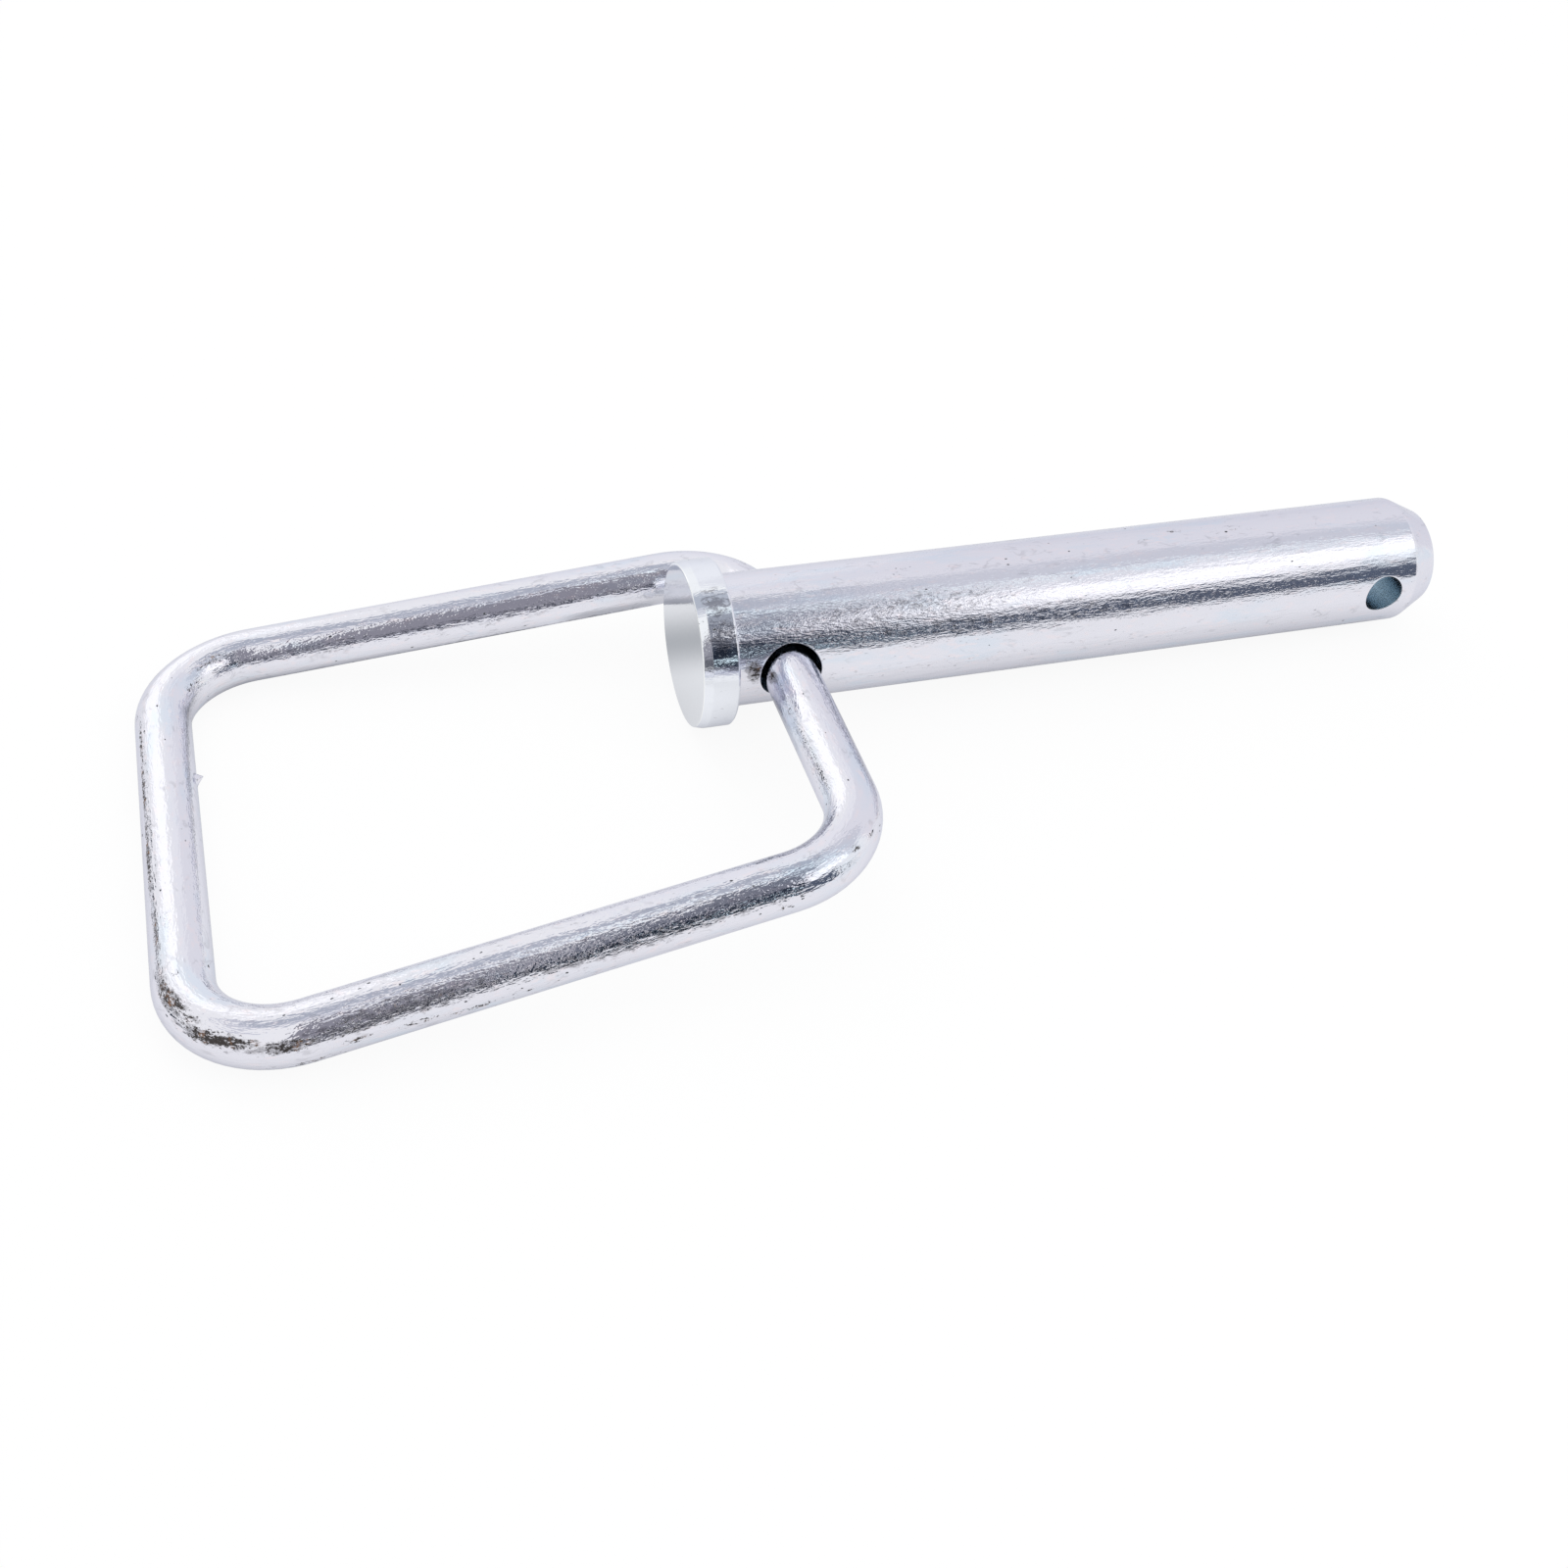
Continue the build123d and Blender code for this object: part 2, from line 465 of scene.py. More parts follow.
start("headed_pin")
face_ring = head_radius - head_chamfer_width - 0.6 * MM
bpy.ops.mesh.primitive_circle_add(vertices=pin_sides, radius=face_ring, fill_type="NGON",
                                  location=(-head_thickness, 0, 0), rotation=(0, pi / 2, 0))
pin = bpy.context.object
pin.name = "headed_pin_plated"
bpy.ops.object.transform_apply(location=True, rotation=True, scale=True)
bpy.ops.object.mode_set(mode="EDIT")
bpy.ops.mesh.select_all(action="SELECT")
place, radius = -head_thickness, face_ring
for next_place, next_radius in profile:
    bpy.ops.mesh.extrude_region_move(TRANSFORM_OT_translate={"value": (next_place - place, 0, 0)})
    scale = next_radius / radius
    bpy.ops.transform.resize(value=(1, scale, scale), center_override=(next_place, 0, 0))
    place, radius = next_place, next_radius
bpy.ops.mesh.select_all(action="SELECT")
bpy.ops.mesh.normals_make_consistent(inside=False)
print("turned shape", len(bmesh.from_edit_mesh(pin.data).faces), "faces")

# %% [markdown]
# ## The cross holes
# Each hole is let into both sides of the wall in the same way: the faces of a square patch are
# deleted, a circle is added in the gap and pressed onto the wall, and the two edge loops are
# bridged. The pressed circle is then the saddle-shaped lip that a drill leaves on a round bar. The
# two lips are bridged through the pin to make the bore, and a small bevel breaks them.

# %% Holes through the shank
handle_hole_lip = 0.30 * MM
clip_hole_lip = 0.25 * MM


def wall_height(point):
    """How far from the middle plane the shank's wall is at a point's height."""
    return sqrt(shank_radius ** 2 - point.z ** 2)


def drill(centre, hole_radius, half, steps, lip):
    """A round cross hole, its axis along Y, with broken lips."""
    half_height = shank_radius * sin(pi / pin_sides * steps)
    for side in (-1, 1):
        select_where("faces", lambda f: abs(f.calc_center_median().x - centre) < half
                     and abs(f.calc_center_median().z) < half_height
                     and f.calc_center_median().y * side > 0)
        bpy.ops.mesh.delete(type="FACE")
        bpy.ops.mesh.select_all(action="DESELECT")
        bpy.ops.mesh.primitive_circle_add(
            vertices=4 * steps, radius=hole_radius, fill_type="NOTHING",
            location=(centre, side * shank_radius, 0), rotation=(pi / 2, 0, 0))
        shape = bmesh.from_edit_mesh(pin.data)
        for vert in shape.verts:
            if vert.select:
                vert.co.y = side * wall_height(vert.co)
        bmesh.update_edit_mesh(pin.data)
        select_where("edges", lambda e: len(e.link_faces) < 2 and e.verts[0].co.y * side > 0
                     and abs(e.verts[0].co.x - centre) < half * 1.01)
        bpy.ops.mesh.bridge_edge_loops(number_cuts=3, interpolation="LINEAR")
        shape = bmesh.from_edit_mesh(pin.data)
        for vert in shape.verts:
            inside = abs(vert.co.x - centre) < half * 0.999 and abs(vert.co.z) < half_height * 0.999
            if inside and vert.co.y * side > 0:
                vert.co.y = side * wall_height(vert.co)
        bmesh.update_edit_mesh(pin.data)
    select_where("edges", lambda e: len(e.link_faces) < 2)
    bpy.ops.mesh.bridge_edge_loops()
    lips = select_where("edges", lambda e: all(
        near(sqrt((v.co.x - centre) ** 2 + v.co.z ** 2), hole_radius)
        and near(abs(v.co.y), wall_height(v.co)) for v in e.verts))
    bpy.ops.mesh.bevel(offset=lip, offset_type="OFFSET", segments=3, profile=0.5, affect="EDGES")
    print("hole at", round(centre / MM, 1), "lip edges", lips)


drill(handle_hole_place, handle_hole_radius, handle_patch_half, handle_patch_steps, handle_hole_lip)
bpy.ops.mesh.select_all(action="SELECT")
bpy.ops.transform.rotate(value=-handle_hole_roll, orient_axis="X", center_override=(0, 0, 0))
drill(clip_hole_place, clip_hole_radius, clip_patch_half, clip_patch_steps, clip_hole_lip)

# %% [markdown]
# ## Broken edges
# No edge of a real turned part is a perfect corner. A narrow bevel on each ring edge catches a thin
# line of light, and the fillet under the head is a wider bevel of the same kind.

# %% Bevel the ring edges and lay the pin down
def bevel_ring(place, radius, width, segments):
    """Bevels the edge ring at a place along the axis."""
    count = select_where("edges", lambda e: all(
        near(v.co.x, place) and near(across_axis(v.co), radius) for v in e.verts))
    bpy.ops.mesh.bevel(offset=width, offset_type="OFFSET", segments=segments, profile=0.5, affect="EDGES")
    return count


rings = [
    bevel_ring(-head_thickness, head_radius - head_chamfer_width, 0.16 * MM, 3),
    bevel_ring(head_chamfer_depth - head_thickness, head_radius, 0.16 * MM, 3),
    bevel_ring(-underside_chamfer, head_radius, 0.12 * MM, 3),
    bevel_ring(0.0, head_radius - underside_chamfer, 0.12 * MM, 3),
    bevel_ring(0.0, shank_radius, under_head_radius, 5),
    bevel_ring(taper_start, shank_radius, 0.45 * MM, 4),
    bevel_ring(length_under_head, shank_radius - taper_width, 0.35 * MM, 4),
]
bpy.ops.mesh.select_all(action="SELECT")
bpy.ops.mesh.remove_doubles(threshold=0.002 * MM)
bpy.ops.mesh.normals_make_consistent(inside=False)
bpy.ops.transform.rotate(value=-dip, orient_axis="Y", center_override=(0, 0, 0))
bpy.ops.object.mode_set(mode="OBJECT")
tip = max(pin.data.vertices, key=lambda v: v.co.x).co
print("edges in each ring", rings, "tip at", [round(v / MM, 2) for v in tip])


def finish_surface(piece, angle=35):
    """Smooth shading that keeps sharp edges, with flat faces that stay flat beside their bevels."""
    bpy.ops.object.select_all(action="DESELECT")
    piece.select_set(True)
    bpy.context.view_layer.objects.active = piece
    bpy.ops.object.shade_smooth_by_angle(angle=radians(angle))
    weighted = piece.modifiers.new("weighted", "WEIGHTED_NORMAL")
    weighted.keep_sharp = True
    bpy.ops.object.modifier_apply(modifier="weighted")


finish_surface(pin)

# %% [markdown]
# ## The loop handle
# The real handle is one round rod, threaded through the hole, bent four times and closed. It is
# modelled in the order in which it is bent: a ring of vertices inside the hole is extruded along
# each straight run and spun round the centre of each bend, until the last ring meets the first.

# %% Path of the rod
near_reach = 76.7 * MM
far_reach = 30.324 * MM
near_lean = radians(4.4)
far_lean = radians(2.5)


def on_loop(along, across):
    """A point of the loop's plane: along towards the grip, across towards +Y."""
    return hinge_point + towards_grip * along + Vector((0, across, 0))


skew = asin(hinge_line.dot(towards_grip) * -1)
near_corner = (sin(skew) * near_reach, -cos(skew) * near_reach)
far_corner = (-sin(skew) * far_reach, cos(skew) * far_reach)
near_grip = (grip_reach, near_corner[1] - (grip_reach - near_corner[0]) * tan(near_lean))
far_grip = (grip_reach, far_corner[1] + (grip_reach - far_corner[0]) * tan(far_lean))
corners = [on_loop(*c) for c in (near_corner, near_grip, far_grip, far_corner)]
print("skew", round(degrees(skew), 3), "corners", [[round(v / MM, 1) for v in c] for c in corners])

# %% Straight runs and bends
rod_sides = 64
run_step = 2.0 * MM
bend_step = radians(5)
loop_normal = towards_grip.cross(Vector((0, 1, 0))).normalized()
legs = []


def place_ring(centre, heading):
    """A ring of vertices round a point, square to a heading."""
    turned = heading.to_track_quat("Z", "Y").to_euler()
    bpy.ops.mesh.primitive_circle_add(vertices=rod_sides, radius=rod_radius, fill_type="NOTHING",
                                      location=centre, rotation=turned)


start("loop_handle")
first_heading = (corners[0] - hinge_point).normalized()
place_ring(hinge_point, first_heading)
handle = bpy.context.object
handle.name = "loop_handle_plated"
bpy.ops.object.transform_apply(location=True, rotation=True, scale=True)
bpy.ops.object.mode_set(mode="EDIT")
bpy.ops.mesh.select_all(action="SELECT")
position, heading, along = hinge_point.copy(), first_heading, 0.0
for number, corner in enumerate(corners + [None]):
    if corner is None:
        run_end, turn_angle = hinge_point.copy(), 0.0
    else:
        following = corners[number + 1] if number + 1 < len(corners) else hinge_point
        next_heading = (following - corner).normalized()
        turn_angle = heading.angle(next_heading)
        run_end = corner - heading * bend_radius * tan(turn_angle / 2)
    run = (run_end - position).length
    steps = max(2, round(run / run_step))
    for _ in range(steps):
        bpy.ops.mesh.extrude_region_move(TRANSFORM_OT_translate={"value": (run_end - position) / steps})
    legs.append({"kind": "run", "from": position.copy(), "heading": heading.copy(), "length": run,
                 "along": along})
    along += run
    if corner is None:
        break
    axis = heading.cross(next_heading).normalized()
    centre = run_end + axis.cross(heading) * bend_radius
    bpy.ops.mesh.spin(steps=round(turn_angle / bend_step), angle=-turn_angle, center=centre, axis=axis)
    legs.append({"kind": "bend", "from": run_end.copy(), "heading": heading.copy(), "centre": centre,
                 "axis": axis, "turn": turn_angle, "length": bend_radius * turn_angle, "along": along})
    along += bend_radius * turn_angle
    position = corner + next_heading * bend_radius * tan(turn_angle / 2)
    heading = next_heading
rod_length = along
bpy.ops.mesh.select_all(action="SELECT")
bpy.ops.mesh.remove_doubles(threshold=0.02 * MM)
bpy.ops.mesh.normals_make_consistent(inside=False)
bpy.ops.object.mode_set(mode="OBJECT")
print("rod length", round(rod_length / MM, 1), "vertices", len(handle.data.vertices), "legs", len(legs))

# %% [markdown]
# ## A burr on the grip
# A small pointed burr stands on the inner side of the grip. The few faces there are divided
# finely, and their vertices are drawn out, furthest in the middle.

# %% Draw out the burr
burr_along = 59.6 * MM  # from the start of the grip's straight run
burr_height = 1.6 * MM
burr_reach = 1.6 * MM
burr_rise = 0.3 * MM  # of its tip, above the middle of the rod
burr_slant = 0.35  # how far its tip leans along the grip, as a share of its height
burr_sharpness = 1.3
divided_reach = 2.6 * MM
drawn_reach = 2.4 * MM  # leaves out the other side of the rod
grip_leg = [leg for leg in legs if leg["kind"] == "run"][2]
inward = grip_leg["heading"].cross(-loop_normal)
burr_foot = grip_leg["from"] + grip_leg["heading"] * burr_along + inward * rod_radius
start("burr")
bpy.context.view_layer.objects.active = handle
handle.select_set(True)
bpy.ops.object.mode_set(mode="EDIT")
chosen = select_where("faces", lambda f: (f.calc_center_median() - burr_foot).length < divided_reach)
bpy.ops.mesh.subdivide(number_cuts=5)
shape = bmesh.from_edit_mesh(handle.data)
drawn = 0
for vert in shape.verts:
    offset = vert.co - burr_foot
    along, upwards = offset.dot(grip_leg["heading"]), -offset.dot(loop_normal)
    share = 1 - sqrt(along ** 2 + (upwards - burr_rise) ** 2) / burr_reach
    if share > 0 and offset.length < drawn_reach:
        drawn_out = (inward + grip_leg["heading"] * burr_slant) * burr_height
        vert.co += drawn_out * share ** burr_sharpness
        drawn += 1
bmesh.update_edit_mesh(handle.data)
bpy.ops.object.mode_set(mode="OBJECT")
print("burr faces", chosen, "vertices drawn out", drawn)

# %% [markdown]
# ## The straight rod behind the bent one
# Mill scale, drawing streaks and plating follow the rod round its bends. A pattern on plain object
# coordinates would cut across them, so each corner of each face also remembers where it was on the
# rod while the rod was straight: how far along it, and where in its section, outwards and upwards.

# %% Remember each point's place on the straight rod
def straighten(point):
    """A point's place on the straight rod: along, outwards from the loop and upwards."""
    best = None
    for leg in legs:
        outward = (-loop_normal).cross(leg["heading"])
        offset = point - leg["from"]
        if leg["kind"] == "run":
            t = offset.dot(leg["heading"])
            u, v = offset.dot(outward), offset.dot(-loop_normal)
        else:
            arm = point - leg["centre"]
            arm -= leg["axis"] * arm.dot(leg["axis"])
            start_arm = (leg["from"] - leg["centre"]).normalized()
            angle = atan2(leg["axis"].dot(start_arm.cross(arm)), start_arm.dot(arm))
            t = angle * bend_radius
            u, v = arm.length - bend_radius, offset.dot(-loop_normal)
        slack = 0.05 * MM
        if -slack <= t <= leg["length"] + slack and sqrt(u * u + v * v) < rod_radius * 1.6:
            miss = abs(sqrt(u * u + v * v) - rod_radius)
            if best is None or miss < best[0]:
                best = (miss, leg["along"] + t, u, v)
    return best[1:] if best else (0.0, 0.0, 0.0)


straight = handle.data.attributes.new("straight_rod", "FLOAT_VECTOR", "CORNER")
places = [straighten(v.co) for v in handle.data.vertices]
values = []
for face in handle.data.polygons:
    alongs = [places[i][0] for i in face.vertices]
    wraps = max(alongs) - min(alongs) > rod_length / 2
    for i in face.vertices:
        along, outwards, upwards = places[i]
        if wraps and along < rod_length / 2:
            along += rod_length
        values += [along / MM, outwards / MM, upwards / MM]
straight.data.foreach_set("vector", values)
finish_surface(handle, 60)
print("straightened corners", len(values) // 3, "furthest along", round(max(values[::3]), 1))

# %% [markdown]
# ## Where the wear is, and two places of painted shade
# Scale, pits and scuffs sit where the rod was gripped and bent, and the photograph's pin shows
# them in the same places. Each place is a soft oval on the surface. The mesh stores how
# strong each kind of wear is at each vertex, and the material breaks these soft amounts up into
# ragged flakes and dots, so a short list is enough for a lot of detail.
# Two places in these lists are painted light, not only wear: a dark patch beside the handle's hole paints
# the reflection of the rod's dark lower side, and a grey line along the far side bar's lower edge is partly
# its mirrored shadow, painted, and partly dark flecks.

# %% Helper for wear
def store_wear_and_shade(piece, places, base, ovals):
    """Stores flakes, pits and coarseness at each vertex. An oval is a place in millimetres, its
    reach along the bar and across it, and its three amounts."""
    places = np.array(places)
    amounts = np.tile(np.array(base, dtype=float), (len(places), 1))
    for (along, outwards, upwards), (long, wide), strength in ovals:
        offset = (places - (along, outwards, upwards)) / (long, wide, wide)
        near_it = np.exp(-(offset ** 2).sum(axis=1) ** 1.5)
        amounts = np.maximum(amounts, near_it[:, None] * np.array(strength))
    wear = piece.data.attributes.new("wear", "FLOAT_VECTOR", "POINT")
    wear.data.foreach_set("vector", amounts.ravel())
    print(piece.name, "ovals of wear", len(ovals), "mean amounts", amounts.mean(axis=0).round(3))


rod_base_wear = (0.22, 0.12, 0.10)
pin_base_wear = (0.16, 0.06, 0.15)
rod_wear_and_shade = [
    ((135, 0.0, 0.0), (80, 14), (0.22, 0.12, 0.30)),
    ((208, 3.2, 5.1), (9, 2.1), (0.72, 0.5, 1.0)), ((197, 4.8, 3.6), (9, 2.1), (0.78, 0.5, 1.0)),
    ((187, 5.4, 2.6), (8, 1.8), (0.68, 0.5, 1.0)), ((174, 5.6, 2.1), (12, 1.0), (0.52, 0.5, 1.0)),
    ((212, 0.2, 6.0), (1.2, 1.0), (0.75, 0.2, 0.3)), ((228, 1.0, 5.9), (5.0, 1.3), (0.46, 0.4, 0.4)),
    ((226, 3.3, 5.0), (12, 0.8), (0.68, 0.3, 1.0)), ((248, 4.0, 4.5), (16, 0.8), (0.72, 0.3, 1.0)),
    ((270, 4.1, 4.4), (16, 0.8), (0.72, 0.3, 1.0)), ((286, 4.0, 4.5), (11, 0.8), (0.72, 0.4, 0.8)),
    ((297, 4.9, 3.5), (2.5, 1.5), (0.55, 0.5, 0.5)), ((318, -3.6, 4.8), (8.0, 1.6), (0.56, 0.6, 0.7)),
    ((309, -5.0, 3.3), (6.0, 1.4), (0.54, 0.5, 0.7)), ((175, 6.0, 0.0), (4.0, 0.9), (0.70, 1.0, 0.5)),
    ((163, 6.0, -0.4), (5.5, 0.8), (0.70, 1.0, 0.5)), ((157, 5.9, -1.2), (2.0, 0.7), (0.74, 1.0, 0.4)),
    ((152, 5.9, -1.2), (4.0, 0.8), (0.70, 1.0, 0.4)), ((143, 5.9, -1.2), (1.6, 0.7), (0.74, 1.0, 0.4)),
    ((184, 5.0, -2.5), (9.0, 1.6), (0.56, 0.9, 0.6)), ((75.7, 4.6, 3.9), (1.8, 1.1), (0.72, 0.6, 0.6)),
    ((71.7, 5.1, 3.2), (1.8, 0.9), (0.62, 1.0, 0.6)), ((68.2, 5.8, 1.7), (1.8, 0.7), (0.62, 1.0, 0.5)),
    ((91.3, 6.0, -0.4), (3.5, 1.4), (0.50, 0.9, 0.5)), ((31.5, -4.9, 3.5), (3.5, 1.1), (0.52, 1.0, 0.6)),
    ((37.0, 2.0, 5.6), (7.0, 2.5), (0.36, 0.5, 0.4)), ((120, 5.6, 2.2), (34, 2.2), (0.30, 0.3, 0.9)),
    ((165, 4.9, 3.4), (24, 2.6), (0.44, 0.6, 1.0)), ((345, -5.6, 2.0), (16, 2.4), (0.36, 0.3, 0.5)),
    # The ovals at 348, 380 and 408 mm along, on this line and the next, paint a grey line on the far side
    # bar's lower edge: partly painted shade, where the bar mirrors its own shadow on the floor, and partly
    # dark flecks.
    ((385, -5.6, 1.6), (30, 2.6), (0.30, 0.3, 0.5)), ((348, -4.0, -4.6), (24, 0.9), (0.56, 0.8, 1.2)),
    ((380, -4.3, -4.3), (24, 0.9), (0.56, 0.8, 1.2)), ((408, -4.6, -4.0), (20, 0.9), (0.56, 0.8, 1.2)),
    ((445, 3.0, 5.0), (8.0, 2.0), (0.42, 0.4, 0.5)),
]
pin_wear_and_shade = [
    # The first oval below is painted shade, not wear: a dark patch beside the handle's hole that stands in
    # for the reflection of the rod's dark lower side.
    ((4.1, -15.0, 1.5), (2.1, 3.3), (0.73, 0.6, 1.7)), ((110.3, 0.4, 15.0), (0.9, 0.9), (0.75, 1.0, 0.3)),
    ((105.8, -3.5, 14.6), (0.8, 0.7), (0.66, 1.0, 0.3)), ((39.8, -3.5, 14.6), (1.5, 0.7), (0.62, 1.0, 0.3)),
    ((43.0, -2.0, 14.9), (0.9, 0.7), (0.66, 1.0, 0.3)), ((125.5, -1.2, 15.0), (3.5, 2.2), (0.44, 0.2, 0.6)),
    ((173.3, -9.1, 10.1), (0.8, 0.7), (0.62, 1.0, 0.3)), ((70.0, -13.6, 6.3), (80, 3.4), (0.22, 0.2, 0.7)),
    ((40.0, -11.0, 10.2), (36, 4.5), (0.24, 0.2, 0.72)), ((-3.4, -15.5, 11.0), (3.6, 6.0), (0.36, 0.4, 1.2)),
    ((-3.4, -9.0, 16.7), (3.6, 5.0), (0.34, 0.3, 1.1)),
    ((-7.3, -12.3, 14.4), (1.0, 1.5), (0.84, 0.6, 0.5)), ((-6.9, -14.6, 12.2), (0.8, 1.8), (0.80, 0.6, 0.5)),
    ((60.0, -14.7, -3.2), (70, 2.8), (0.27, 0.2, 0.4)),
]


def level_place(point):
    """A point's place along and across the pin's own axis."""
    return (Matrix.Rotation(-dip, 3, "Y") @ point) / MM


store_wear_and_shade(pin, [level_place(v.co) for v in pin.data.vertices], pin_base_wear, pin_wear_and_shade)
store_wear_and_shade(handle, [Vector(place) / MM for place in places], rod_base_wear, rod_wear_and_shade)

# %% [markdown]
# ## Zinc plating
# Bright zinc over bar steel is a mirror that isn't quite smooth. The drawn bar leaves fine ridges
# along its length, the steel under the plating is finely pitted, and both break the edges of every
# reflection into short ragged streaks. The relief is a node group, and so are the tint and the
# wear, so that the pin and the rod share them, each with its own amounts.

# %% Group: relief of drawn bar
def new_group(name, inputs, outputs):
    """An empty node group with these inputs, name to kind and default, and these outputs."""
    group = bpy.data.node_groups.new(name, "ShaderNodeTree")
    for socket_name, (kind, default) in inputs.items():
        socket = group.interface.new_socket(name=socket_name, in_out="INPUT", socket_type=kind)
        if default is not None:
            socket.default_value = default
    for socket_name, kind in outputs.items():
        group.interface.new_socket(name=socket_name, in_out="OUTPUT", socket_type=kind)
    return group, group.nodes.new("NodeGroupInput").outputs, group.nodes.new("NodeGroupOutput").inputs


def use_group(tree, group, inputs):
    """Places a group in a tree with its inputs set or linked, and gives its outputs."""
    node = tree.nodes.new("ShaderNodeGroup")
    node.node_tree = group
    for name, value in inputs.items():
        feed(tree, node.inputs[name], value)
    return node.outputs


NUMBER, VECTOR, COLOUR = "NodeSocketFloat", "NodeSocketVector", "NodeSocketColor"

relief_group, given, result = new_group(
    "bar relief",
    {"Place": (VECTOR, None), "Streaks": (NUMBER, 0.03), "Grain": (NUMBER, 0.01),
     "Waves": (NUMBER, 0.1), "Coarse": (NUMBER, 0.0)},
    {"Height": NUMBER})
tree = relief_group
streaks = noise(tree, stretch(tree, given["Place"], (0.26, 1, 1)), 1.7, detail=1.0, roughness=0.5)
grain = noise(tree, stretch(tree, given["Place"], (0.55, 1, 1)), 3.4, detail=0.0)
waves = noise(tree, stretch(tree, given["Place"], (0.14, 1, 1)), 0.42, detail=1.0)
roughened = maths(tree, "MULTIPLY_ADD", given["Coarse"], 0.75, 0.5)
total = maths(tree, "MULTIPLY", streaks, given["Streaks"])
total = maths(tree, "MULTIPLY_ADD", grain, given["Grain"], total)
total = maths(tree, "MULTIPLY", total, roughened)
total = maths(tree, "MULTIPLY_ADD", waves, given["Waves"], total)
tree.links.new(total, result["Height"])
print("relief group with", len(tree.nodes), "nodes")

# %% Group: tint of the plating
tint_group, given, result = new_group(
    "zinc tint",
    {"Place": (VECTOR, None), "Cool": (COLOUR, (0.74, 0.79, 0.87, 1)),
     "Plain": (COLOUR, (0.80, 0.80, 0.86, 1)), "Warm": (COLOUR, (0.85, 0.80, 0.84, 1))},
    {"Color": COLOUR})
tree = tint_group
clouds = noise(tree, stretch(tree, given["Place"], (0.25, 1, 1)), 0.16, detail=3.0, roughness=0.6)
spots = noise(tree, stretch(tree, given["Place"], (0.4, 1, 1)), 0.9, detail=2.0)
colour = mix_colour(tree, ramp(tree, clouds, 0.52, 0.68), given["Plain"], given["Cool"])
colour = mix_colour(tree, ramp(tree, spots, 0.56, 0.72, 0.0, 0.8), colour, given["Warm"])
tree.links.new(colour, result["Color"])
print("tint group with", len(tree.nodes), "nodes")

# %% Group: dull mottling
dull_group, given, result = new_group(
    "dull mottling", {"Place": (VECTOR, None), "Amount": (NUMBER, 0.0)}, {"Mask": NUMBER})
tree = dull_group
mottle = noise(tree, stretch(tree, given["Place"], (0.45, 1, 1)), 1.1, detail=3.0, roughness=0.7)
mottle = maths(tree, "MULTIPLY_ADD", given["Amount"], 0.34, mottle)
tree.links.new(ramp(tree, mottle, 0.70, 0.88, 0.0, 0.8), result["Mask"])
print("dull group with", len(tree.nodes), "nodes")

# %% Group: flakes and pits
wear_group, given, result = new_group(
    "scale and pits",
    {"Place": (VECTOR, None), "Flakes": (NUMBER, 0.0), "Pits": (NUMBER, 0.0)},
    {"Flakes": NUMBER, "Pits": NUMBER})
tree = wear_group
ragged = noise(tree, stretch(tree, given["Place"], (0.6, 1, 1)), 1.7, detail=4.0, roughness=0.75)
reach = maths(tree, "MULTIPLY_ADD", given["Flakes"], 0.50, ragged)
tree.links.new(ramp(tree, reach, 0.80, 0.86), result["Flakes"])
cells = add_node(tree, "ShaderNodeTexVoronoi", inputs={
    "Vector": stretch(tree, given["Place"], (0.6, 1, 1)), "Scale": 0.95, "Randomness": 1.0})
lot = add_node(tree, "ShaderNodeSeparateColor", inputs={0: cells.outputs["Color"]})
chance = maths(tree, "MULTIPLY", given["Pits"], 0.6)
drawn = ramp(tree, maths(tree, "SUBTRACT", chance, lot.outputs[0]), -0.02, 0.02)
wobble = maths(tree, "MULTIPLY_ADD", ragged, 0.60, cells.outputs["Distance"])
size = maths(tree, "MULTIPLY_ADD", lot.outputs[1], 0.22, 0.30)
dot = ramp(tree, maths(tree, "SUBTRACT", size, wobble), -0.03, 0.03)
tree.links.new(maths(tree, "MULTIPLY", dot, drawn), result["Pits"])
print("wear group with", len(tree.nodes), "nodes")

# %% Group: hairline scratches
scratch_group, given, result = new_group(
    "hairlines", {"Place": (VECTOR, None), "Width": (NUMBER, 0.006)}, {"Mask": NUMBER})
tree = scratch_group
field = noise(tree, stretch(tree, given["Place"], (0.40, 1, 1)), 0.32, detail=2.0, distortion=0.8)
line = maths(tree, "ABSOLUTE", maths(tree, "SUBTRACT", field, 0.5))
line = maths(tree, "SUBTRACT", 1.0, maths(tree, "DIVIDE", line, given["Width"]), clamp=True)
broken = ramp(tree, noise(tree, given["Place"], 0.22, detail=2.0), 0.54, 0.66)
tree.links.new(maths(tree, "MULTIPLY", line, broken), result["Mask"])
print("hairline group with", len(tree.nodes), "nodes")

# %% [markdown]
# ## Pin and rod finishes
# Both finishes are the same zinc. The pin's shank is a little rougher than its head, which was
# faced on the lathe and stayed a clean mirror, and the drilled bores are darker, because plating
# hardly reaches into a hole. The rod follows its own straightened coordinates.

# %% Pin and rod materials
dark_scale = (0.045, 0.038, 0.036, 1)
brown_scale = (0.21, 0.115, 0.065, 1)
pit_grey = (0.06, 0.062, 0.072, 1)
dull_grey = (0.35, 0.345, 0.375, 1)
edge_tint = (0.80, 0.81, 0.86, 1)
clean_zinc = (0.86, 0.885, 0.93, 1)
faced_zinc = (0.97, 0.985, 0.965, 1)
bore_zinc = (0.62, 0.71, 0.77, 1)
calm_relief_loss = 0.80
bore_relief_loss = 0.85
bore_roughness = 0.26
hairline_width = 0.045
hairline_strength = 0.32
worn_roughness = 0.45
worn_metal_loss = 0.55
worn_depth = 0.02


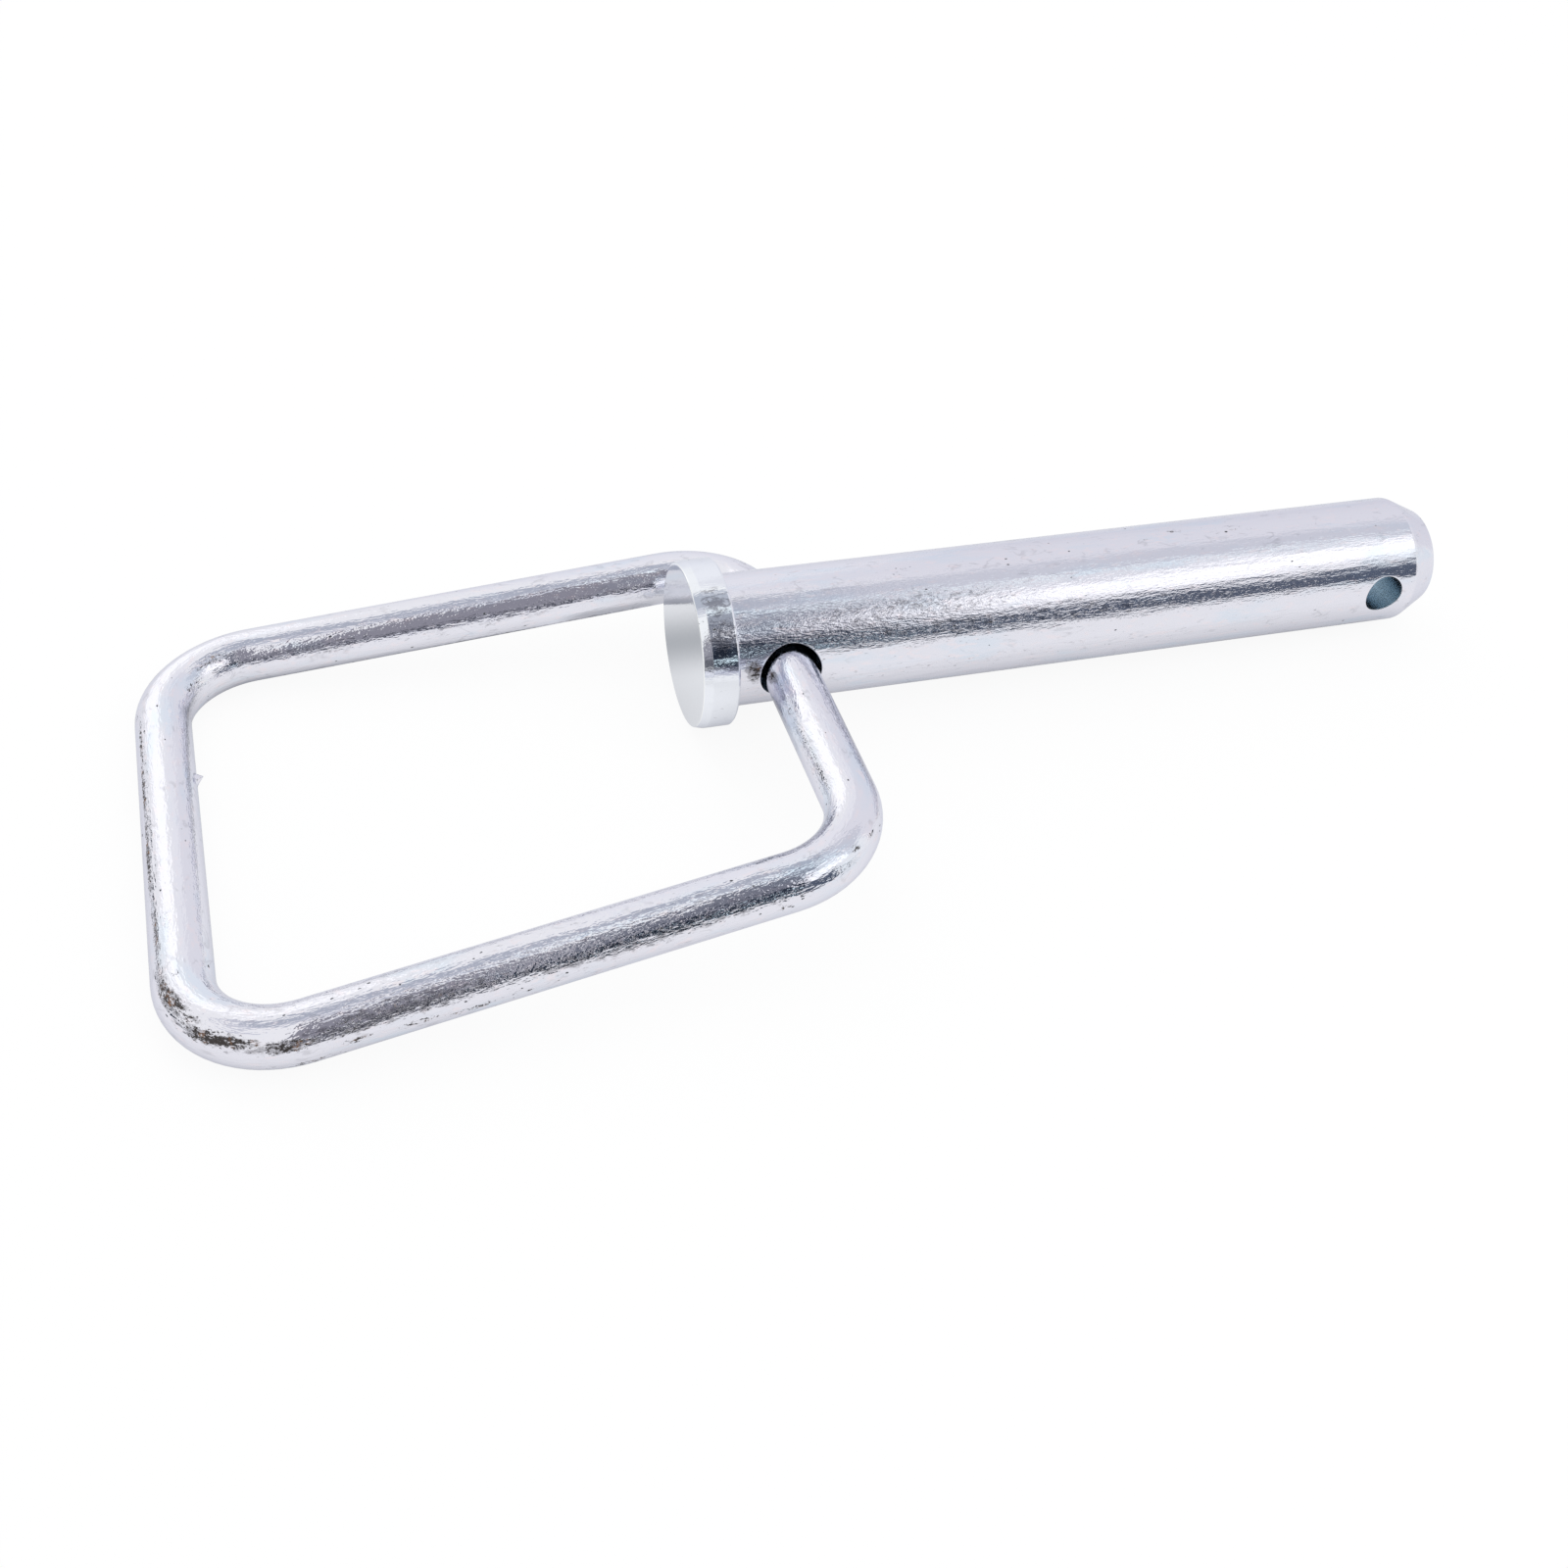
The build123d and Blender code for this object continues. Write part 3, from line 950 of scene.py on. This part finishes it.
def plated(name, place, fineness, streaks, grain, waves, roughness, calm=None, bores=None):
    """Bright zinc on steel. Calm is a mask of clean turned faces, bores one of drilled walls."""
    material, tree, output = new_material(name)
    spot = place(tree)
    wear = add_node(tree, "ShaderNodeSeparateXYZ", inputs={
        0: add_node(tree, "ShaderNodeAttribute", attribute_name="wear").outputs["Vector"]}).outputs
    damage_and_shade = use_group(tree, wear_group, {"Place": spot, "Flakes": wear[0], "Pits": wear[1]})
    hairs = use_group(tree, scratch_group, {"Place": spot, "Width": hairline_width})["Mask"]
    height = use_group(tree, relief_group, {
        "Place": stretch(tree, spot, (fineness, fineness, fineness)), "Streaks": streaks, "Grain": grain,
        "Waves": waves, "Coarse": wear[2]})["Height"]
    colour = use_group(tree, tint_group, {"Place": spot})["Color"]
    dull = use_group(tree, dull_group, {"Place": spot, "Amount": wear[2]})["Mask"]
    uneven = noise(tree, stretch(tree, spot, (0.3, 1, 1)), 0.8, detail=3.0)
    rough = maths(tree, "MULTIPLY_ADD", uneven, 0.10, roughness - 0.05)
    if calm:
        still = calm(tree, spot)
        height = maths(tree, "MULTIPLY", height,
                       maths(tree, "MULTIPLY_ADD", still, -calm_relief_loss, 1.0))
        rough = maths(tree, "MULTIPLY_ADD", still, 0.03 - roughness * 0.6, rough)
        faced = mix_colour(tree, ramp(tree, still, 0.92, 0.98), clean_zinc, faced_zinc)
        colour = mix_colour(tree, maths(tree, "MULTIPLY", still, 1.2, clamp=True), colour, faced)
        hairs = maths(tree, "MULTIPLY", hairs, maths(tree, "SUBTRACT", 1.0, still))
    if bores:
        drilled = bores(tree, spot)
        height = maths(tree, "MULTIPLY", height,
                       maths(tree, "MULTIPLY_ADD", drilled, -bore_relief_loss, 1.0))
        colour = mix_colour(tree, drilled, colour, bore_zinc)
        rough = maths(tree, "MAXIMUM", rough, maths(tree, "MULTIPLY", drilled, bore_roughness))
    rust = ramp(tree, noise(tree, spot, 0.5, detail=2.0), 0.54, 0.66)
    # The dull mottling, pits and flakes below are wear, and they also paint the places of painted shade in
    # the wear lists: a dark reflection beside the handle's hole and the partly painted shadow line along the
    # far side bar's lower edge.
    colour = mix_colour(tree, dull, colour, dull_grey)
    colour = mix_colour(tree, maths(tree, "MULTIPLY", hairs, hairline_strength), colour, dull_grey)
    colour = mix_colour(tree, damage_and_shade["Pits"], colour, pit_grey)
    colour = mix_colour(tree, damage_and_shade["Flakes"], colour, mix_colour(tree, rust, dark_scale, brown_scale))
    hurt = maths(tree, "MAXIMUM", damage_and_shade["Flakes"], damage_and_shade["Pits"])
    rough = maths(tree, "MAXIMUM", rough, maths(tree, "MULTIPLY", hurt, worn_roughness))
    metal = maths(tree, "MULTIPLY_ADD", hurt, -worn_metal_loss, 1.0)
    height = maths(tree, "MULTIPLY_ADD", hurt, -worn_depth, height)
    bump = add_node(tree, "ShaderNodeBump", inputs={"Strength": 1.0, "Distance": MM, "Height": height})
    surface = add_node(tree, "ShaderNodeBsdfPrincipled", inputs={
        "Base Color": colour, "Metallic": metal, "Roughness": rough, "Specular Tint": edge_tint,
        "Normal": bump.outputs[0]})
    tree.links.new(surface.outputs[0], output.inputs["Surface"])
    return material


def pin_place(tree):
    """Millimetres along and across the pin's own axis."""
    coordinates = add_node(tree, "ShaderNodeTexCoord")
    level = add_node(tree, "ShaderNodeMapping", inputs={
        "Vector": coordinates.outputs["Object"], "Rotation": (0, -dip, 0)})
    return stretch(tree, level.outputs[0], (1 / MM, 1 / MM, 1 / MM))


def rod_place(tree):
    """Millimetres along, outwards and upwards on the straight rod."""
    return add_node(tree, "ShaderNodeAttribute", attribute_name="straight_rod").outputs["Vector"]


def face_mask(tree, spot):
    """1 on the head's face, 0.85 on its chamfer, 0.8 on its rim and 0 on the shank."""
    along = add_node(tree, "ShaderNodeSeparateXYZ", inputs={0: spot}).outputs["X"]
    face_place = -head_thickness / MM
    chamfer_end = (head_chamfer_depth - head_thickness) / MM
    face = ramp(tree, along, face_place + 0.04, face_place + 0.20, 1.0, 0.85)
    edge = maths(tree, "MULTIPLY", face,
                 ramp(tree, along, chamfer_end - 0.1, chamfer_end + 0.3, 1.0, 0.0))
    return maths(tree, "MAXIMUM", edge, ramp(tree, along, -0.3, 0.1, 0.80, 0.0))


def bore_mask(tree, spot):
    """1 on the walls of the two cross holes."""
    found = None
    for centre, radius, roll in ((handle_hole_place, handle_hole_radius, handle_hole_roll),
                                 (clip_hole_place, clip_hole_radius, 0.0)):
        turned = add_node(tree, "ShaderNodeMapping", vector_type="TEXTURE", inputs={
            "Vector": spot, "Location": (centre / MM, 0, 0), "Rotation": (roll, 0, 0)})
        flat = stretch(tree, turned.outputs[0], (1, 0, 1))
        reach = add_node(tree, "ShaderNodeVectorMath", operation="LENGTH", inputs={0: flat})
        mask = ramp(tree, reach.outputs["Value"], radius / MM + 0.04, radius / MM + 0.12, 1.0, 0.0)
        found = mask if found is None else maths(tree, "MAXIMUM", found, mask)
    return found


pin_zinc = plated("pin zinc", pin_place, fineness=1.6, streaks=0.072, grain=0.022, waves=0.10,
                  roughness=0.12, calm=face_mask, bores=bore_mask)
rod_zinc = plated("rod zinc", rod_place, fineness=1.2, streaks=0.135, grain=0.035, waves=0.13,
                  roughness=0.07)
pin.data.materials.append(pin_zinc)
handle.data.materials.append(rod_zinc)
print("materials", [m.name for m in bpy.data.materials])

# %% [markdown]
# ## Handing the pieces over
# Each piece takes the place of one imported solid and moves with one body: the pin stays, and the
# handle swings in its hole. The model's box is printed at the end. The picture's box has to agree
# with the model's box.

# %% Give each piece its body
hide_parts("headed_pin")
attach(pin, "pin")
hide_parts("loop_handle")
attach(handle, "handle")

# %% Print the model's box and finish
print("box of the model", [round(v / MM, 2) for v in (*cad_low, *cad_high)])
